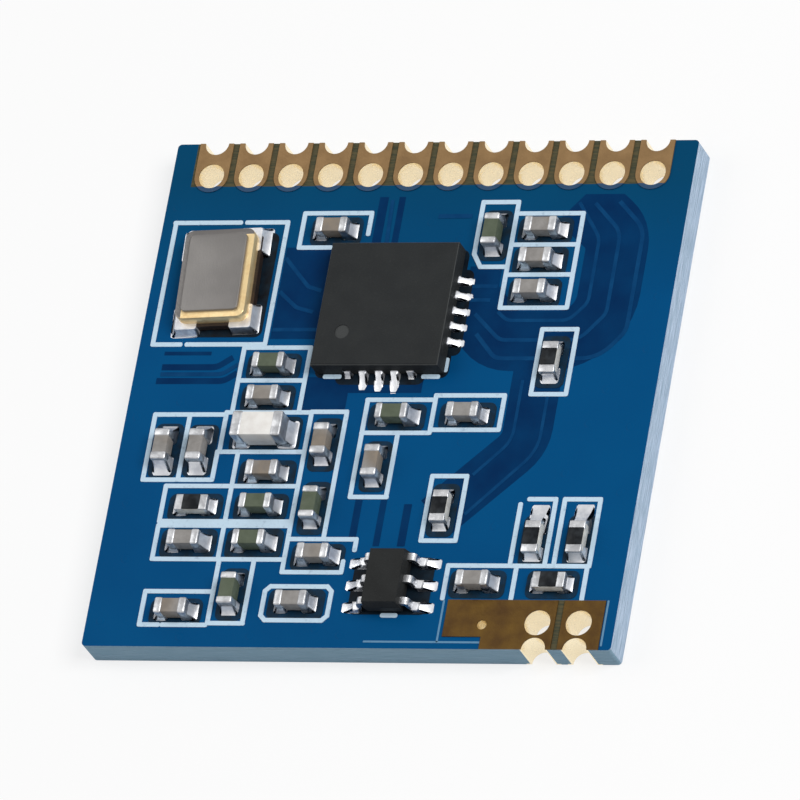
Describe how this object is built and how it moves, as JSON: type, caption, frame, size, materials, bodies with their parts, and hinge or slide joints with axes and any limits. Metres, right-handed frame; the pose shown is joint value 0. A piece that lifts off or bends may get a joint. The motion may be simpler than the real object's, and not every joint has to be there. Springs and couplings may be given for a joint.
{
  "type": "radio transceiver module",
  "caption": "Small square radio transceiver board with castellated gold edge contacts, a moulded transceiver chip, a metal-lidded crystal, an antenna switch and tiny chip parts.",
  "frame": {"origin": "middle of the board's underside", "axes": "+Z out of the populated face, +Y towards the long row of edge contacts, +X towards the antenna contact's corner"},
  "size_m": [0.0164, 0.0164, 0.0019],
  "materials": {
    "solder_mask": "blue solder mask over glass-fibre laminate, satin gloss",
    "gold_plate": "thin gold plating on copper, matte on the lands and bright in the holes",
    "chip_resin": "black moulded resin, fine grain",
    "switch_resin": "black moulded resin, fine grain",
    "tinned_copper": "tin-plated copper, dull bright",
    "dark_ceramic": "dark brown fired ceramic",
    "gold_rim": "gold-plated seal frame",
    "nickel_lid": "nickel-plated lid, fine satin",
    "quartz": "ground quartz plate",
    "brown_ceramic": "taupe fired ceramic",
    "pale_ceramic": "pale fired ceramic",
    "green_ceramic": "grey-green fired ceramic",
    "white_ceramic": "white alumina",
    "tin_cap": "plated tin ends, slightly dull",
    "resistor_film": "black glassy coat",
    "solder": "reflowed solder, bright and a little uneven"
  },
  "bodies": {
    "root": {"antenna_contact": "gold_plate", "bulk_capacitor": "pale_ceramic", "capacitor_01": "brown_ceramic", "capacitor_02": "brown_ceramic", "capacitor_03": "brown_ceramic", "capacitor_04": "brown_ceramic", "capacitor_05": "brown_ceramic", "capacitor_06": "brown_ceramic", "capacitor_07": "brown_ceramic", "capacitor_08": "brown_ceramic", "capacitor_09": "brown_ceramic", "capacitor_10": "brown_ceramic", "capacitor_11": "brown_ceramic", "capacitor_12": "brown_ceramic", "capacitor_13": "brown_ceramic", "capacitor_14": "brown_ceramic", "capacitor_15": "brown_ceramic", "capacitor_16": "brown_ceramic", "capacitor_end_caps": "tin_cap", "chip_leads": "tinned_copper", "chip_thermal_pad": "tinned_copper", "crystal_base": "dark_ceramic", "crystal_lid": "nickel_lid", "crystal_seal_ring": "gold_rim", "edge_contact_01": "gold_plate", "edge_contact_02": "gold_plate", "edge_contact_03": "gold_plate", "edge_contact_04": "gold_plate", "edge_contact_05": "gold_plate", "edge_contact_06": "gold_plate", "edge_contact_07": "gold_plate", "edge_contact_08": "gold_plate", "edge_contact_09": "gold_plate", "edge_contact_10": "gold_plate", "edge_contact_11": "gold_plate", "edge_contact_12": "gold_plate", "ground_contact": "gold_plate", "inductor_01": "green_ceramic", "inductor_02": "green_ceramic", "inductor_03": "green_ceramic", "inductor_04": "green_ceramic", "inductor_05": "green_ceramic", "inductor_06": "green_ceramic", "inductor_07": "green_ceramic", "inductor_end_caps": "tin_cap", "printed_circuit_board": "solder_mask", "quartz_blank": "quartz", "resistor_01": "white_ceramic", "resistor_02": "white_ceramic", "resistor_03": "white_ceramic", "resistor_04": "white_ceramic", "resistor_05": "white_ceramic", "resistor_06": "white_ceramic", "resistor_coats": "resistor_film", "resistor_end_caps": "tin_cap", "solder_joints": "solder", "switch_body": "switch_resin", "switch_leads": "tinned_copper", "transceiver_chip": "chip_resin"}
  },
  "joints": []
}
